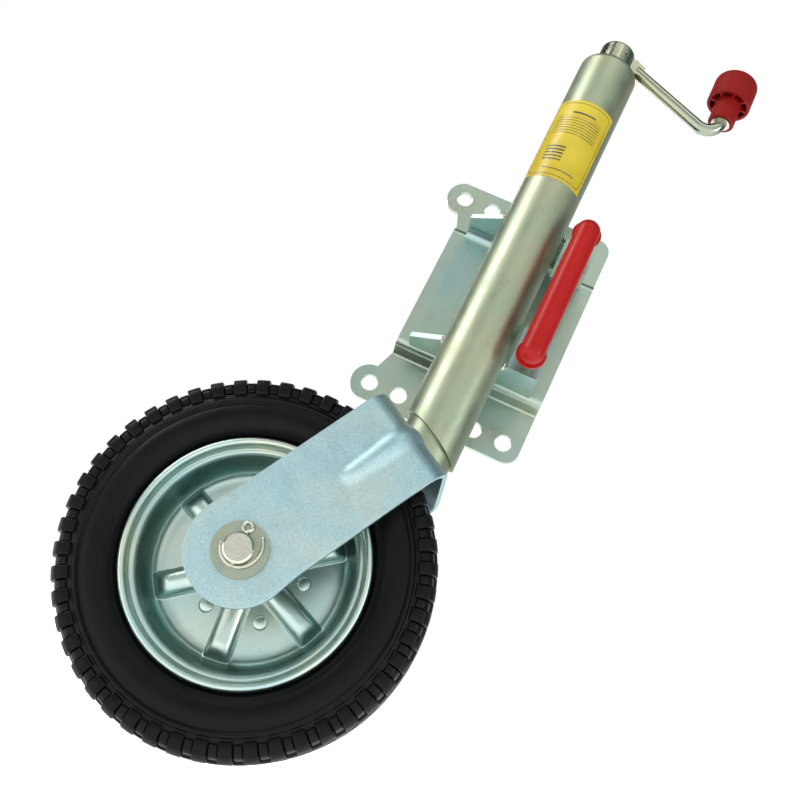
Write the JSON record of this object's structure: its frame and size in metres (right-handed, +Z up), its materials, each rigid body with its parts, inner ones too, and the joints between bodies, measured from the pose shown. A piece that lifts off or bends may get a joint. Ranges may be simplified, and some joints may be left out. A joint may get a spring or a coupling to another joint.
{
  "type": "trailer tongue jack",
  "caption": "Swing-up trailer jockey wheel: a crank-wound telescopic tube on a locking swivel bracket, with a castoring fork and a solid rubber wheel.",
  "frame": {"origin": "on the mounting plate's back face, where the swivel's pivot axis crosses it", "axes": "+Z up the outer tube to the crank, +Y into the drawbar, +X towards the lock handle; stowed pose, with the tube along the drawbar"},
  "size_m": [0.318, 0.1435, 0.6626],
  "materials": {
    "plate_zinc": "zinc plated sheet, satin, slightly yellow-green",
    "bracket_zinc": "zinc plated sheet, satin, bluish",
    "tube_zinc": "zinc plated drawn tube, semi-bright",
    "fork_zinc": "zinc plated heavy strip, mottled satin",
    "rim_zinc": "zinc plated pressing, semi-bright",
    "crank_zinc": "zinc plated bar, semi-bright",
    "bare_steel": "machined steel",
    "weld_metal": "plated weld bead",
    "label_yellow": "printed vinyl, plain border",
    "tyre_rubber": "solid black rubber",
    "bush_nylon": "nylon",
    "knob_plastic": "moulded plastic, fine grain",
    "grip_plastic": "dipped plastic, satin"
  },
  "bodies": {
    "drawbar_plate": {"mounting_plate": "plate_zinc", "pivot_rivet": "bare_steel", "pivot_washer": "bare_steel"},
    "swivel": {"swivel_bracket": "bracket_zinc", "outer_tube": "tube_zinc", "tube_welds": "weld_metal", "tube_label": "label_yellow", "bearing_race_upper": "bare_steel", "bearing_balls": "bare_steel"},
    "lock": {"lock_handle_bar": "crank_zinc", "handle_grip": "grip_plastic", "spring_collars": "bare_steel", "lock_springs": "bare_steel"},
    "lift": {"drive_nut": "bare_steel"},
    "castor": {"inner_tube": "tube_zinc", "wheel_fork": "fork_zinc", "fork_weld": "weld_metal", "wheel_axle": "bare_steel", "axle_washers": "plate_zinc", "split_pin": "bare_steel", "axle_spacers": "bare_steel"},
    "wheel": {"rim_near": "rim_zinc", "rim_far": "rim_zinc", "rim_rivets": "rim_zinc", "tyre": "tyre_rubber", "hub_tube": "rim_zinc", "hub_bushes": "bush_nylon"},
    "crank": {"lead_screw": "bare_steel", "bearing_race_lower": "bare_steel", "crank_boss": "crank_zinc", "roll_pin": "bare_steel", "crank_rod": "crank_zinc", "knob_ferrule": "bare_steel", "knob_clip": "bare_steel"},
    "knob": {"crank_knob": "knob_plastic"}
  },
  "joints": [
    {"name": "swing_up", "type": "hinge", "parent": "drawbar_plate", "child": "swivel", "pos_m": [0, -0.02, 0], "axis": [0, 1, 0], "range_deg": [0, 90]},
    {"name": "lock_pull", "type": "slide", "parent": "swivel", "child": "lock", "axis": [0, -1, 0], "range_m": [-0.01, 0.012], "stiffness_N_per_m": 1500, "springref_m": -0.012, "deforming": ["lock_springs"]},
    {"name": "leg_extend", "type": "slide", "parent": "swivel", "child": "lift", "axis": [0, 0, -1], "range_m": [0, 0.2]},
    {"name": "castor_turn", "type": "hinge", "parent": "lift", "child": "castor", "pos_m": [0, -0.072, 0.1], "axis": [0, 0, 1], "range_deg": [-60, 60]},
    {"name": "wheel_spin", "type": "hinge", "parent": "castor", "child": "wheel", "pos_m": [-0.07238, -0.072, -0.27556], "axis": [0, 1, 0], "continuous": true},
    {"name": "crank_turn", "type": "hinge", "parent": "swivel", "child": "crank", "pos_m": [0, -0.072, 0.2], "axis": [0, 0, 1], "range_deg": [0, 18000]},
    {"name": "knob_spin", "type": "hinge", "parent": "crank", "child": "knob", "pos_m": [0.101, -0.072, 0.24], "axis": [0, 0, 1], "continuous": true}
  ],
  "couplings": [
    {"joint": "crank_turn", "follows": "leg_extend", "rad_per_m": 1570.8}
  ]
}
